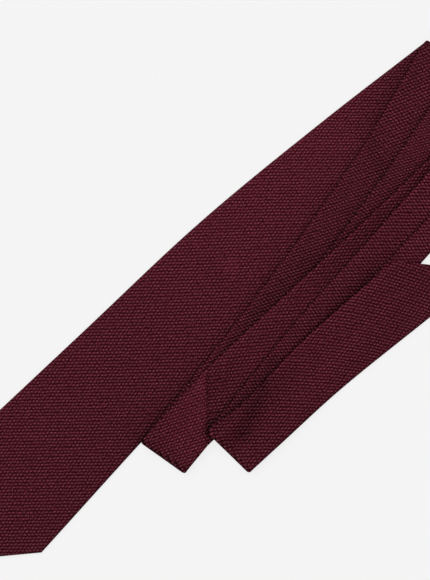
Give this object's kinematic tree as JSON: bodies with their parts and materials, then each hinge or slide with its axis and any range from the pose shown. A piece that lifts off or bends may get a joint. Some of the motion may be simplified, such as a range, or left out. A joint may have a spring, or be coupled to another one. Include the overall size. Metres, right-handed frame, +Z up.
{
  "type": "necktie",
  "caption": "Woven silk necktie folded back and forth in overlapping lengths and lying flat, with pointed ends.",
  "frame": {"origin": "on the floor, under the middle of the folded tie's box", "axes": "+Z up from the floor, +X towards the folds at the right, the blade's tip points down and to the left along -X and -Y"},
  "size_m": [0.3637, 0.3126, 0.0138],
  "materials": {
    "grenadine_silk": "burgundy silk in a coarse honeycomb weave",
    "grenadine_silk_tail": "burgundy silk in a coarse honeycomb weave"
  },
  "bodies": {
    "root": {"blade_section": "grenadine_silk", "tail_section": "grenadine_silk_tail"}
  },
  "joints": []
}
